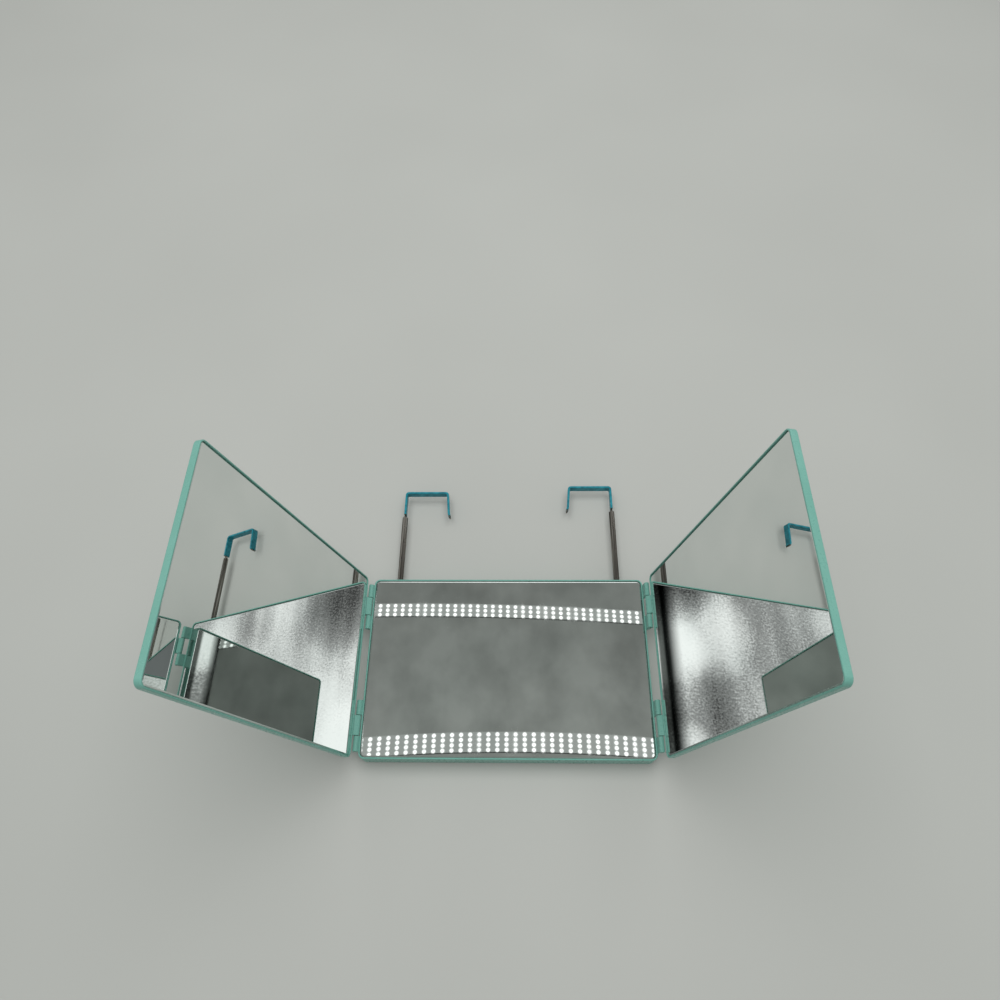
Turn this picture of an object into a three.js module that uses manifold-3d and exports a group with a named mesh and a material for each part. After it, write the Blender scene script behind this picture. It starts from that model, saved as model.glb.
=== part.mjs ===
// Trifold mirror lying on its back: a centre panel with two hinged wings and two telescopic door hooks.
// Millimetres and degrees. X runs across the panels, Y up the panel towards the hooks, Z out of the mirror.
// The origin is the middle of the back cover's flat rest face.
import * as THREE from 'three';
import { mergeVertices } from 'three/addons/utils/BufferGeometryUtils.js';
import Module from 'manifold-3d';

const wasm = await Module();
wasm.setup();

// Panels
const panelWidth = 240;
const panelHeight = 154;
const panelCorner = 5;
const wingTrim = 2;
const rimWidth = 1.3;
const rimStand = 0.8;
const rimSlope = 0.2;
const frontRound = 0.7;
const backRound = 1.2;

// Mirror glass and the adhesive sheet behind it
const glassThickness = 1.8;
const glassPlay = 0.25;
const glassBevel = 1.1;
const glassBevelDepth = 0.6;
const adhesiveThickness = 0.6;
const adhesiveInset = 8;
const seatGap = 0.25;

// Wing tray and the walls of the centre housing
const wingFloor = 1.3;
const trayFloor = 1.4;
const coverFloor = 1.8;
const shellWall = 2;
const shellJoint = 0.1;
const seamBevel = 0.25;

// Hinges
const endKnuckle = 12;
const midKnuckle = 16;
const knuckleGap = 0.4;
const hingeInset = 5.5;
const pinRadius = 0.8;
const pinPlay = 0.3;
const pinGrip = 0.05;
const pinRecess = 0.6;
const barrelWall = 1.1;
const barrelToCentre = 0.4;
const barrelToWing = 1.9;
const webRoot = 0.4;
const webDrop = 1.2;
const axisAboveWing = 1.2;
const foldedGap = 1;
const stackGap = 0.7;
const leftWingAngle = 74.9;
const rightWingAngle = 79.2;

// Hooks: flat strip bent to a square U, with a sleeve over it and a round shank below
const hookGap = 38;
const hookRise = 26.7;
const hookBend = 2.2;
const hookSplay = 4.5;
const hookStripThickness = 1.1;
const hookStripWidth = 6.1;
const hookTipRise = 0.2;
const hookKick = 1.3;
const hookKickRise = 3.7;
const sleeveWall = 0.3;
const sleevePlay = 0.15;
const sleeveStart = 2.8;
const bareTip = 1.2;
const shoulderStart = 1.5;
const shoulderRise = 1.3;
const shankRadius = 0.9;
const shankDepth = 7;
const shankHeadRadius = 1.15;
const shankHeadLength = 2;

// Telescopic rods, from the inner rod that carries the hook to the tube fixed in the housing
const socketPlay = 0.2;
const socketWall = 0.35;
const tubeWall = 0.4;
const slidePlay = 0.4;
const innerRodShort = 10;
const innerRodStand = 0.6;
const mouthLength = 1.5;
const mouthPlay = 0.12;
const bushLength = 8;
const bushPlay = 0.08;
const retractedStand = 2.6;
const tubeEndSpare = 5.6;
const outerTubeInset = 11;
const leftRodOut = 66.6;
const rightRodOut = 72.8;

// Collar where each tube leaves the top wall
const guidePlay = 0.15;
const guideWall = 0.35;
const guideFlange = 0.9;
const guideFlangeThickness = 0.8;
const guideLipLength = 2.4;

// Ribs that hold the outer tubes, and the cover screws
const tubeSeat = 0.1;
const ribUnderTube = 4.4;
const ribThickness = 2.4;
const ribReach = 2.5;
const ribInset = 19;
const screwInset = 10;
const screwSeat = 5;
const screwRadius = 1.25;
const screwHeadRadius = 2.6;
const screwHeadThickness = 1.7;
const screwBite = 3.6;
const screwPlay = 0.1;
const screwHolePlay = 0.35;
const threadSpare = 0.4;
const pillarWall = 1.4;
const bossWall = 1.8;
const rodToPillar = 3.75;

// Steps that round shapes are drawn with
const cornerSteps = 5;
const edgeSteps = 2;
const barrelSides = 20;
const tubeSides = 20;
const boreSides = 14;
const bendSteps = 5;

// Sizes that follow from the ones above
const pocketDepth = rimStand + glassThickness + adhesiveThickness + 2 * seatGap;
const wingThickness = pocketDepth + wingFloor;
const wingWidth = panelWidth - wingTrim;
const innerRodRadius = shankHeadRadius + socketPlay + socketWall;
const middleTubeRadius = innerRodRadius + slidePlay + tubeWall;
const outerTubeRadius = middleTubeRadius + slidePlay + tubeWall;
const coverDepth = coverFloor + ribUnderTube + outerTubeRadius;
const rodHeight = coverDepth;
const frontDepth = tubeSeat + outerTubeRadius + trayFloor + pocketDepth;
const centreFace = coverDepth + frontDepth;
const trayUnderside = centreFace - pocketDepth - trayFloor;
const topEdge = panelHeight / 2;
const barrelRadius = pinRadius + pinPlay + barrelWall;
const axisToWing = barrelRadius + barrelToWing;
const axisOffset = panelWidth / 2 + barrelRadius + barrelToCentre;
const leftAxisHeight = centreFace + foldedGap - axisAboveWing;
const rightAxisHeight = leftAxisHeight + wingThickness + stackGap;
const hingeLength = 2 * endKnuckle + midKnuckle + 2 * knuckleGap;
const webDepth = wingThickness - 2 * frontRound;
const pillarRadius = screwHeadRadius + screwHolePlay + pillarWall;
const rodOffset = panelWidth / 2 - screwInset - pillarRadius - rodToPillar - outerTubeRadius;
const guideNeck = middleTubeRadius + guidePlay + guideWall;
const guideStart = topEdge - shellWall - guideLipLength;
const outerTubeStart = -topEdge + outerTubeInset;
const outerTubeEnd = guideStart - tubeSeat;
const middleTubeLength = topEdge + retractedStand - outerTubeStart - tubeEndSpare;
const innerRodLength = middleTubeLength - innerRodShort;

const mintPlastic = () => new THREE.MeshStandardMaterial({ color: 0x74b8a7, roughness: 0.38, metalness: 0 });
const mirrorGlass = () => new THREE.MeshStandardMaterial({ color: 0xc3c9c8, roughness: 0.04, metalness: 1 });
const adhesive = () => new THREE.MeshStandardMaterial({ color: 0xd9d6cc, roughness: 0.9, metalness: 0 });
const darkSteel = () => new THREE.MeshStandardMaterial({ color: 0x77736c, roughness: 0.35, metalness: 1 });
const zincSteel = () => new THREE.MeshStandardMaterial({ color: 0xa9abad, roughness: 0.4, metalness: 1 });
const nylon = () => new THREE.MeshStandardMaterial({ color: 0x9a9c98, roughness: 0.6, metalness: 0 });
const turquoise = () => new THREE.MeshStandardMaterial({ color: 0x1b93a5, roughness: 0.5, metalness: 0 });

function named(name, geometry, material) {
  const mesh = new THREE.Mesh(geometry, material);
  mesh.name = name;
  return mesh;
}

// Turns a closed geometry into a solid that can be joined and cut.
function solidOf(geometry) {
  const bare = geometry.clone();
  bare.deleteAttribute('normal');
  bare.deleteAttribute('uv');
  const merged = mergeVertices(bare, 1e-4);
  const triVerts = new Uint32Array(merged.index.array);
  const vertProperties = new Float32Array(merged.attributes.position.array);
  return new wasm.Manifold(new wasm.Mesh({ numProp: 3, vertProperties, triVerts }));
}

// Turns a solid back into a geometry.
function geometryOf(solid) {
  const mesh = solid.getMesh();
  const geometry = new THREE.BufferGeometry();
  geometry.setAttribute('position', new THREE.BufferAttribute(new Float32Array(mesh.vertProperties), 3));
  geometry.setIndex(new THREE.BufferAttribute(new Uint32Array(mesh.triVerts), 1));
  const flat = geometry.toNonIndexed();
  flat.computeVertexNormals();
  return flat;
}

const join = (first, ...others) => others.reduce((sum, piece) => sum.add(piece), first);
const cut = (first, ...others) => others.reduce((rest, piece) => rest.subtract(piece), first);

// Outline of a rounded rectangle, counter-clockwise from its right side.
function roundedRectangle(width, height, corner) {
  const points = [];
  const radius = Math.max(corner, 0.3);
  const quarters = [[1, 1], [-1, 1], [-1, -1], [1, -1]];
  quarters.forEach(([sx, sy], quarter) => {
    const cx = sx * (width / 2 - radius);
    const cy = sy * (height / 2 - radius);
    for (let i = 0; i <= cornerSteps; i += 1) {
      const angle = (quarter + i / cornerSteps) * Math.PI / 2;
      points.push([cx + radius * Math.cos(angle), cy + radius * Math.sin(angle)]);
    }
  });
  return points;
}

// A slab with a panel's outline, drawn through levels of [inset, z] from the lowest to the highest.
function panelSlab(levels, width = panelWidth, corner = panelCorner) {
  const positions = [];
  const indices = [];
  levels.forEach(([inset, z]) => {
    const ring = roundedRectangle(width - 2 * inset, panelHeight - 2 * inset, corner - inset);
    ring.forEach(([x, y]) => positions.push(x, y, z));
  });
  const count = positions.length / 3 / levels.length;
  for (let level = 0; level + 1 < levels.length; level += 1) {
    for (let i = 0; i < count; i += 1) {
      const a = level * count + i;
      const b = level * count + (i + 1) % count;
      indices.push(a, b, b + count, a, b + count, a + count);
    }
  }
  const lowCentre = positions.length / 3;
  const highCentre = lowCentre + 1;
  const highRing = (levels.length - 1) * count;
  positions.push(0, 0, levels[0][1], 0, 0, levels[levels.length - 1][1]);
  for (let i = 0; i < count; i += 1) {
    const next = (i + 1) % count;
    indices.push(lowCentre, next, i, highCentre, highRing + i, highRing + next);
  }
  const geometry = new THREE.BufferGeometry();
  geometry.setAttribute('position', new THREE.Float32BufferAttribute(positions, 3));
  geometry.setIndex(indices);
  return geometry;
}

// The levels of an edge rounded over a radius: up is 1 for a top edge at z and -1 for a bottom edge.
function roundedEdge(radius, z, up) {
  const levels = [];
  for (let i = 0; i <= edgeSteps; i += 1) {
    const angle = i / edgeSteps * Math.PI / 2;
    levels.push([radius * (1 - Math.cos(angle)), z - up * radius * (1 - Math.sin(angle))]);
  }
  return up > 0 ? levels : levels.reverse();
}

// A cylinder along Z from low to high.
function pillar(x, y, radius, low, high) {
  const geometry = new THREE.CylinderGeometry(radius, radius, high - low, boreSides);
  geometry.rotateX(Math.PI / 2);
  geometry.translate(x, y, (low + high) / 2);
  return solidOf(geometry);
}

// A cylinder along Y from start to end.
function barrel(x, z, radius, start, end, sides) {
  const geometry = new THREE.CylinderGeometry(radius, radius, end - start, sides);
  geometry.translate(x, (start + end) / 2, z);
  return solidOf(geometry);
}

// A round piece along Y from a profile of [radius, y] that starts and ends on the axis or closes on itself.
function turned(profile, sides = tubeSides) {
  return new THREE.LatheGeometry(profile.map(([r, y]) => new THREE.Vector2(r, y)), sides);
}

// Where a line from an outside point touches the hinge barrel; side picks one of the two lines.
function touchPoint(point, centre, side) {
  const away = point.clone().sub(centre);
  const angle = away.angle() + side * Math.acos(barrelRadius / away.length());
  const reach = new THREE.Vector2(Math.cos(angle), Math.sin(angle)).multiplyScalar(barrelRadius);
  return centre.clone().add(reach);
}

// A hinge knuckle in the XZ plane: the barrel, and a web that runs to it from a panel's edge at x.
function knuckle(centre, x, top, bottom, start, end) {
  const upper = new THREE.Vector2(x, top);
  const lower = new THREE.Vector2(x, bottom);
  const side = Math.sign(x - centre.x);
  const web = new THREE.Shape([
    upper,
    touchPoint(upper, centre, side),
    centre,
    touchPoint(lower, centre, -side),
    lower,
  ]);
  const geometry = new THREE.ExtrudeGeometry(web, { depth: end - start, bevelEnabled: false });
  geometry.rotateX(Math.PI / 2);
  geometry.translate(0, end, 0);
  return join(solidOf(geometry), barrel(centre.x, centre.y, barrelRadius, start, end, barrelSides));
}

const pinHole = (centre, play, start, end) => (
  barrel(centre.x, centre.y, pinRadius + play, start - 1, end + 1, boreSides)
);

// The stretches along Y of a hinge's three knuckles, from its lower end.
function knuckleStretches(hingeStart) {
  const middle = hingeStart + endKnuckle + knuckleGap;
  const upper = middle + midKnuckle + knuckleGap;
  return {
    ends: [[hingeStart, hingeStart + endKnuckle], [upper, upper + endKnuckle]],
    middle: [middle, middle + midKnuckle],
  };
}

const hingeStarts = [-topEdge + hingeInset, topEdge - hingeInset - hingeLength];

// The recess for the glass and its adhesive, open at the face and sloped along the rim.
function mirrorPocket(face, width) {
  return solidOf(panelSlab([
    [rimWidth, face - pocketDepth],
    [rimWidth, face - rimSlope],
    [rimWidth - rimSlope, face],
    [rimWidth - rimSlope, face + 1],
  ], width));
}

// The glass, bevelled along its front edges.
function mirrorSheet(face, width) {
  const inset = rimWidth + glassPlay;
  const front = face - rimStand;
  return panelSlab([
    [inset, front - glassThickness],
    [inset, front - glassBevelDepth],
    [inset + glassBevel, front],
  ], width);
}

function adhesiveSheet(face, width) {
  const high = face - rimStand - glassThickness - seatGap;
  const inset = rimWidth + adhesiveInset;
  return panelSlab([[inset, high - adhesiveThickness], [inset, high]], width, panelCorner + inset);
}

// A wing lies open flat to the right of its hinge axis, which runs along Y through its group's origin.
const wingFace = -axisAboveWing;
const wingCentre = axisToWing + wingWidth / 2;
const wingAxis = new THREE.Vector2(0, 0);

function wingFrame() {
  const edges = [
    ...roundedEdge(frontRound, wingFace - wingThickness, -1),
    ...roundedEdge(frontRound, wingFace, 1),
  ];
  const tray = cut(solidOf(panelSlab(edges, wingWidth)), mirrorPocket(wingFace, wingWidth));
  const webTop = wingFace - frontRound;
  let frame = tray.translate([wingCentre, 0, 0]);
  hingeStarts.forEach((hingeStart) => {
    const [start, end] = knuckleStretches(hingeStart).middle;
    const web = [webTop - webDrop, webTop - webDepth];
    frame = join(frame, knuckle(wingAxis, axisToWing + webRoot, ...web, start, end));
    frame = cut(frame, pinHole(wingAxis, pinPlay, start, end));
  });
  return geometryOf(frame);
}

function wingPieces(side) {
  const frame = named(`${side}_wing_frame`, wingFrame(), mintPlastic());
  const mirror = named(`${side}_wing_mirror`, mirrorSheet(wingFace, wingWidth), mirrorGlass());
  const sheet = named(`${side}_wing_adhesive`, adhesiveSheet(wingFace, wingWidth), adhesive());
  mirror.position.x = wingCentre;
  sheet.position.x = wingCentre;
  const pieces = new THREE.Group();
  pieces.add(frame, mirror, sheet);
  return pieces;
}

function rightWing() {
  const wing = new THREE.Group();
  wing.position.set(axisOffset, 0, rightAxisHeight);
  wing.rotation.y = -THREE.MathUtils.degToRad(rightWingAngle);
  wing.add(wingPieces('right'));
  return wing;
}

// The left wing is the same moulding turned half round, on a hinge that stands lower.
function leftWing() {
  const halfTurn = wingPieces('left');
  halfTurn.rotation.z = Math.PI;
  const wing = new THREE.Group();
  wing.position.set(-axisOffset, 0, leftAxisHeight);
  wing.rotation.y = THREE.MathUtils.degToRad(leftWingAngle);
  wing.add(halfTurn);
  return wing;
}

const screwPlaces = [-1, 0, 1].flatMap((column) => [-1, 1].map((row) => [
  column * (panelWidth / 2 - screwInset),
  row * (topEdge - screwInset),
]));
const rodPlaces = [-rodOffset, rodOffset];
const ribPlaces = [-1, 0, 1].map((place) => place * (topEdge - ribInset));
const bossLow = coverDepth + shellJoint;
const bossHigh = trayUnderside + trayFloor / 2;

// The ribs across the outer tubes, from low to high, with a half-round seat for each tube.
function tubeRibs(low, high) {
  const reach = outerTubeRadius + ribReach;
  return rodPlaces.flatMap((x) => ribPlaces.map((y) => {
    const geometry = new THREE.BoxGeometry(2 * reach, ribThickness, high - low);
    geometry.translate(x, y, (low + high) / 2);
    const seatRadius = outerTubeRadius + tubeSeat;
    const seat = barrel(x, rodHeight, seatRadius, y - ribThickness, y + ribThickness, tubeSides);
    return cut(solidOf(geometry), seat);
  }));
}

// The holes in the top wall that close round the necks of the guide collars.
function guideHoles() {
  const middle = topEdge - shellWall / 2;
  return rodPlaces.map((x) => (
    barrel(x, rodHeight, guideNeck + tubeSeat, middle - shellWall, middle + shellWall, tubeSides)
  ));
}

function centreKnuckles() {
  const sides = [[-1, leftAxisHeight], [1, rightAxisHeight]];
  return sides.flatMap(([side, height]) => hingeStarts.flatMap((hingeStart) => {
    const centre = new THREE.Vector2(side * axisOffset, height);
    const root = side * (panelWidth / 2 - webRoot);
    const webTop = centreFace - frontRound;
    return knuckleStretches(hingeStart).ends.map(([start, end]) => (
      cut(knuckle(centre, root, webTop, webTop - webDepth, start, end), pinHole(centre, pinGrip, start, end))
    ));
  }));
}

// The front half of the housing: a tray for the mirror, hollow behind, with bosses, ribs and knuckles.
function centreFrame() {
  const edges = [[seamBevel, bossLow], [0, bossLow + seamBevel], ...roundedEdge(frontRound, centreFace, 1)];
  const hollow = solidOf(panelSlab([[shellWall, coverDepth - 1], [shellWall, trayUnderside]]));
  const shell = cut(solidOf(panelSlab(edges)), mirrorPocket(centreFace, panelWidth), hollow);
  const bosses = screwPlaces.map(([x, y]) => pillar(x, y, screwRadius + bossWall, bossLow, bossHigh));
  const threadEnd = coverDepth + screwBite + threadSpare;
  const threads = screwPlaces.map(([x, y]) => {
    return pillar(x, y, screwRadius + screwPlay, coverDepth - 1, threadEnd);
  });
  const inside = cut(join(shell, ...bosses, ...tubeRibs(bossLow, bossHigh)), ...threads, ...guideHoles());
  return geometryOf(join(inside, ...centreKnuckles()));
}

// The back half of the housing, which carries the rods' lower seats and the screw pillars.
function backCover() {
  const edges = [...roundedEdge(backRound, 0, -1), [0, coverDepth - seamBevel], [seamBevel, coverDepth]];
  const hollow = solidOf(panelSlab([[shellWall, coverFloor], [shellWall, coverDepth + 1]]));
  const shell = cut(solidOf(panelSlab(edges)), hollow);
  const pillars = screwPlaces.map(([x, y]) => pillar(x, y, pillarRadius, coverFloor / 2, coverDepth));
  const headRadius = screwHeadRadius + screwHolePlay;
  const heads = screwPlaces.map(([x, y]) => pillar(x, y, headRadius, -1, screwSeat));
  const holes = screwPlaces.map(([x, y]) => pillar(x, y, screwRadius + screwHolePlay, 0, coverDepth + 1));
  const ribs = tubeRibs(coverFloor / 2, coverDepth);
  return geometryOf(cut(join(shell, ...pillars, ...ribs), ...heads, ...holes, ...guideHoles()));
}

// A pan-head screw along Z, its head under the seat and its point up in the boss.
function coverScrew() {
  const tip = coverDepth + screwBite;
  const geometry = turned([
    [0, screwSeat - screwHeadThickness],
    [screwHeadRadius * 0.7, screwSeat - screwHeadThickness],
    [screwHeadRadius, screwSeat - screwHeadThickness * 0.6],
    [screwHeadRadius, screwSeat],
    [screwRadius, screwSeat],
    [screwRadius, tip - screwRadius],
    [screwRadius * 0.4, tip],
    [0, tip],
  ], boreSides);
  geometry.rotateX(Math.PI / 2);
  return geometry;
}

function screws() {
  return screwPlaces.map(([x, y], index) => {
    const screw = named(`cover_screw_${index + 1}`, coverScrew(), zincSteel());
    screw.position.set(x, y, 0);
    return screw;
  });
}

function hingePins() {
  const length = hingeLength - 2 * pinRecess;
  const sides = [['left', -axisOffset, leftAxisHeight], ['right', axisOffset, rightAxisHeight]];
  return sides.flatMap(([side, x, z]) => ['bottom', 'top'].map((level, index) => {
    const geometry = new THREE.CylinderGeometry(pinRadius, pinRadius, length, boreSides);
    const pin = named(`${side}_${level}_hinge_pin`, geometry, zincSteel());
    pin.position.set(x, hingeStarts[index] + hingeLength / 2, z);
    return pin;
  }));
}

function centrePieces() {
  return [
    named('centre_frame', centreFrame(), mintPlastic()),
    named('back_cover', backCover(), mintPlastic()),
    named('centre_mirror', mirrorSheet(centreFace, panelWidth), mirrorGlass()),
    named('centre_adhesive', adhesiveSheet(centreFace, panelWidth), adhesive()),
  ];
}

// A tube along Y that ends at y = 0, its mouth drawn in round the next stage to keep that stage's bush in.
function tube(radius, length, nextRadius) {
  const bore = radius - tubeWall;
  const mouth = nextRadius + mouthPlay;
  return turned([
    [bore, -length],
    [radius, -length],
    [radius, -tubeWall],
    [radius - tubeWall / 2, 0],
    [mouth, 0],
    [mouth, -mouthLength],
    [bore, -mouthLength - tubeWall],
    [bore, -length],
  ]);
}

// The nylon bush at a sliding stage's foot, which grips the bore that the stage runs in.
function bush(stageRadius) {
  const inside = stageRadius + bushPlay / 2;
  const outside = stageRadius + slidePlay - bushPlay;
  return turned([[inside, 0], [outside, 0], [outside, bushLength], [inside, bushLength], [inside, 0]]);
}

// The collar that guides the middle tube through the top wall, with a lip inside and a flange outside.
function guideCollar() {
  const bore = middleTubeRadius + guidePlay;
  const wallInside = topEdge - shellWall - tubeSeat;
  const wallOutside = topEdge + tubeSeat;
  return turned([
    [bore, guideStart],
    [outerTubeRadius, guideStart],
    [outerTubeRadius, wallInside],
    [guideNeck, wallInside],
    [guideNeck, wallOutside],
    [guideNeck + guideFlange, wallOutside],
    [guideNeck + guideFlange, wallOutside + guideFlangeThickness],
    [bore, wallOutside + guideFlangeThickness],
    [bore, guideStart],
  ]);
}

// The inner rod ends at y = 0 in a socket that keeps the head of the hook's shank and lets it turn.
function innerRod() {
  const socket = shankHeadRadius + socketPlay;
  const mouth = shankRadius + socketPlay;
  const neckEnd = shankHeadLength - shankDepth + socketPlay;
  const bottom = -shankDepth - socketPlay;
  return turned([
    [0, -innerRodLength],
    [innerRodRadius, -innerRodLength],
    [innerRodRadius, -socketPlay],
    [innerRodRadius - socketPlay, 0],
    [mouth, 0],
    [mouth, neckEnd],
    [socket, neckEnd],
    [socket, bottom],
    [0, bottom],
  ]);
}

const sleeveThickness = hookStripThickness + 2 * (sleevePlay + sleeveWall);
const hookSpan = hookGap + sleeveThickness;

// Centre line of the hook: up from the rod, across, down the splayed free arm and out along its kicked end.
// It starts at lowEnd above the tube's end and stops at the height aboveTip over its free tip.
function hookPath(lowEnd, aboveTip) {
  const top = hookRise - sleeveThickness / 2;
  const splay = THREE.MathUtils.degToRad(hookSplay);
  const path = [new THREE.Vector2(0, lowEnd)];
  const bends = [[hookBend, Math.PI, Math.PI / 2], [hookSpan - hookBend, Math.PI / 2, splay]];
  bends.forEach(([x, from, to]) => {
    for (let i = 0; i <= bendSteps; i += 1) {
      const angle = from + i / bendSteps * (to - from);
      const centre = new THREE.Vector2(x, top - hookBend);
      path.push(new THREE.Vector2(Math.cos(angle), Math.sin(angle)).multiplyScalar(hookBend).add(centre));
    }
  });
  const armStart = path.at(-1);
  const kickStart = hookTipRise + hookKickRise;
  const kickX = armStart.x + (armStart.y - kickStart) * Math.tan(splay);
  const kicked = 1 - aboveTip / hookKickRise;
  path.push(new THREE.Vector2(kickX, kickStart));
  path.push(new THREE.Vector2(kickX + hookKick * kicked, hookTipRise + aboveTip));
  return path;
}

// A strip of rectangular section that follows a path in the XY plane.
function strip(path, thickness, width) {
  const directions = path.slice(1).map((point, i) => point.clone().sub(path[i]).normalize());
  const offsets = path.map((point, i) => {
    const before = directions[Math.max(i - 1, 0)];
    const after = directions[Math.min(i, directions.length - 1)];
    const along = before.clone().add(after).normalize();
    return new THREE.Vector2(-along.y, along.x).multiplyScalar(thickness / 2 / along.dot(before));
  });
  const left = path.map((point, i) => point.clone().add(offsets[i]));
  const right = path.map((point, i) => point.clone().sub(offsets[i])).reverse();
  const shape = new THREE.Shape([...left, ...right]);
  const geometry = new THREE.ExtrudeGeometry(shape, { depth: width, bevelEnabled: false });
  geometry.translate(0, 0, -width / 2);
  return solidOf(geometry);
}

// A wedge that slopes one shoulder of the strip down to the shank.
function shoulderCut() {
  const half = hookStripWidth / 2;
  const wedge = new THREE.Shape([
    new THREE.Vector2(shankRadius, shoulderStart - 1),
    new THREE.Vector2(half + 1, shoulderStart - 1),
    new THREE.Vector2(half + 1, shoulderStart + shoulderRise),
    new THREE.Vector2(half, shoulderStart + shoulderRise),
    new THREE.Vector2(shankRadius, shoulderStart),
  ]);
  const geometry = new THREE.ExtrudeGeometry(wedge, { depth: 2 * hookStripThickness, bevelEnabled: false });
  geometry.translate(0, 0, -hookStripThickness);
  geometry.rotateY(Math.PI / 2);
  return solidOf(geometry);
}

// The round shank, whose head the rod's socket keeps.
function hookShank() {
  const foot = innerRodStand - shankDepth;
  const top = shoulderStart + shoulderRise;
  return solidOf(turned([
    [0, foot],
    [shankHeadRadius, foot],
    [shankHeadRadius, foot + shankHeadLength - socketPlay],
    [shankRadius, foot + shankHeadLength],
    [shankRadius, top],
    [0, top],
  ], boreSides));
}

function hookSteel() {
  const wedge = shoulderCut();
  const flat = strip(hookPath(shoulderStart, 0), hookStripThickness, hookStripWidth);
  const shaped = cut(flat, wedge, wedge.rotate([0, 180, 0]));
  return geometryOf(join(shaped, hookShank()));
}

// The sleeve covers the strip from just above the rod to its bare tip.
function hookSleeve() {
  const play = 2 * sleevePlay;
  const skin = strip(hookPath(sleeveStart, bareTip), sleeveThickness, hookStripWidth + play + 2 * sleeveWall);
  const room = strip(hookPath(sleeveStart - 1, 0), hookStripThickness + play, hookStripWidth + play);
  return geometryOf(cut(skin, room));
}

function fixedRodPieces(side) {
  const length = outerTubeEnd - outerTubeStart;
  const outer = named(`${side}_outer_tube`, tube(outerTubeRadius, length, middleTubeRadius), darkSteel());
  outer.position.y = outerTubeEnd;
  return [outer, named(`${side}_tube_guide`, guideCollar(), nylon())];
}

// The stages drawn out of the housing, placed from the end of the middle tube; the hook points along +X.
function drawnRodPieces(side) {
  const middleTube = tube(middleTubeRadius, middleTubeLength, innerRodRadius);
  const middle = named(`${side}_middle_tube`, middleTube, darkSteel());
  const middleBush = named(`${side}_middle_bush`, bush(middleTubeRadius), nylon());
  const inner = named(`${side}_inner_rod`, innerRod(), darkSteel());
  const innerBush = named(`${side}_inner_bush`, bush(innerRodRadius), nylon());
  const hook = named(`${side}_hook`, hookSteel(), darkSteel());
  const sleeve = named(`${side}_hook_sleeve`, hookSleeve(), turquoise());
  middleBush.position.y = -middleTubeLength;
  inner.position.y = innerRodStand;
  innerBush.position.y = innerRodStand - innerRodLength;
  return [middle, middleBush, inner, innerBush, hook, sleeve];
}

// One telescopic rod, drawn out past the top edge, with its hook turned towards the other rod.
function telescopicRod(side, x, drawnOut) {
  const drawn = new THREE.Group();
  drawn.position.y = topEdge + drawnOut;
  drawn.rotation.y = x > 0 ? Math.PI : 0;
  drawn.add(...drawnRodPieces(side));
  const rod = new THREE.Group();
  rod.position.set(x, 0, rodHeight);
  rod.add(...fixedRodPieces(side), drawn);
  return rod;
}

const trifoldMirror = new THREE.Group();
trifoldMirror.add(...centrePieces(), ...screws(), ...hingePins(), leftWing(), rightWing());
trifoldMirror.add(telescopicRod('left', -rodOffset, leftRodOut));
trifoldMirror.add(telescopicRod('right', rodOffset, rightRodOut));

export default trifoldMirror;
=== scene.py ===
from math import cos, pi, radians, sin, tan

import bmesh
import bpy
from mathutils import Matrix


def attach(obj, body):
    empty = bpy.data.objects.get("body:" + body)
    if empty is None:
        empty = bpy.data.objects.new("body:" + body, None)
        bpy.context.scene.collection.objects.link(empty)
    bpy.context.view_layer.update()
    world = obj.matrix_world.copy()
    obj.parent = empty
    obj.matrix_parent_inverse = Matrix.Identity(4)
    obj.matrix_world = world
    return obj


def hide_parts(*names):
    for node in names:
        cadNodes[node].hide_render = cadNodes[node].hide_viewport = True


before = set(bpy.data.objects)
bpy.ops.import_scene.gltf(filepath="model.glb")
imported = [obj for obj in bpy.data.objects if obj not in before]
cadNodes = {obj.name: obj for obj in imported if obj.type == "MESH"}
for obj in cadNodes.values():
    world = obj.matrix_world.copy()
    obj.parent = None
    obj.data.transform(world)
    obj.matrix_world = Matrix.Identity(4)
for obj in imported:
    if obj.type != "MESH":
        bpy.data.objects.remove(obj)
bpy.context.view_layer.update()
print("frame loaded:", len(cadNodes), "nodes")

cameraView = {
    "place": (0.00666, -0.16464, 0.61364),
    "tilt": -28.5,
    "turn": -2.59,
    "roll": 2.35,
    "lens": 25.55,
    "sensor": 36,
    "nearest": 0.01,
}


def addCamera():
    lens = bpy.data.cameras.new("camera")
    lens.lens = cameraView["lens"]
    lens.sensor_width = cameraView["sensor"]
    lens.clip_start = cameraView["nearest"]
    eye = bpy.data.objects.new("camera", lens)
    bpy.context.scene.collection.objects.link(eye)
    turns = [("Z", "roll"), ("X", "tilt"), ("Z", "turn")]
    look = Matrix.Identity(3)
    for axis, part in turns:
        look = look @ Matrix.Rotation(radians(cameraView[part]), 3, axis)
    eye.matrix_world = Matrix.Translation(cameraView["place"]) @ look.transposed().to_4x4()
    bpy.context.scene.camera = eye


def colour(code):
    # a written screen colour, such as 7cc9b4, as the shader's linear one
    parts = [int(code[i:i + 2], 16) / 255 for i in (0, 2, 4)]
    linear = [part / 12.92 if part <= 0.04045 else ((part + 0.055) / 1.055) ** 2.4 for part in parts]
    return (*linear, 1)


def addNode(tree, kind, inputs=None, **settings):
    # inputs are the node's sockets, settings its own fields
    node = tree.nodes.new(kind)
    for name, value in settings.items():
        setattr(node, name, value)
    for name, value in (inputs or {}).items():
        node.inputs[name].default_value = value
    return node


def ramp(tree, source, stops):
    # a colour ramp from a list of (place, screen colour)
    node = addNode(tree, "ShaderNodeValToRGB")
    elements = node.color_ramp.elements
    while len(elements) < len(stops):
        elements.new(0.5)
    for element, (place, code) in zip(elements, stops):
        element.position = place
        element.color = colour(code)
    tree.links.new(source, node.inputs["Fac"])
    return node.outputs["Color"]


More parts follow.
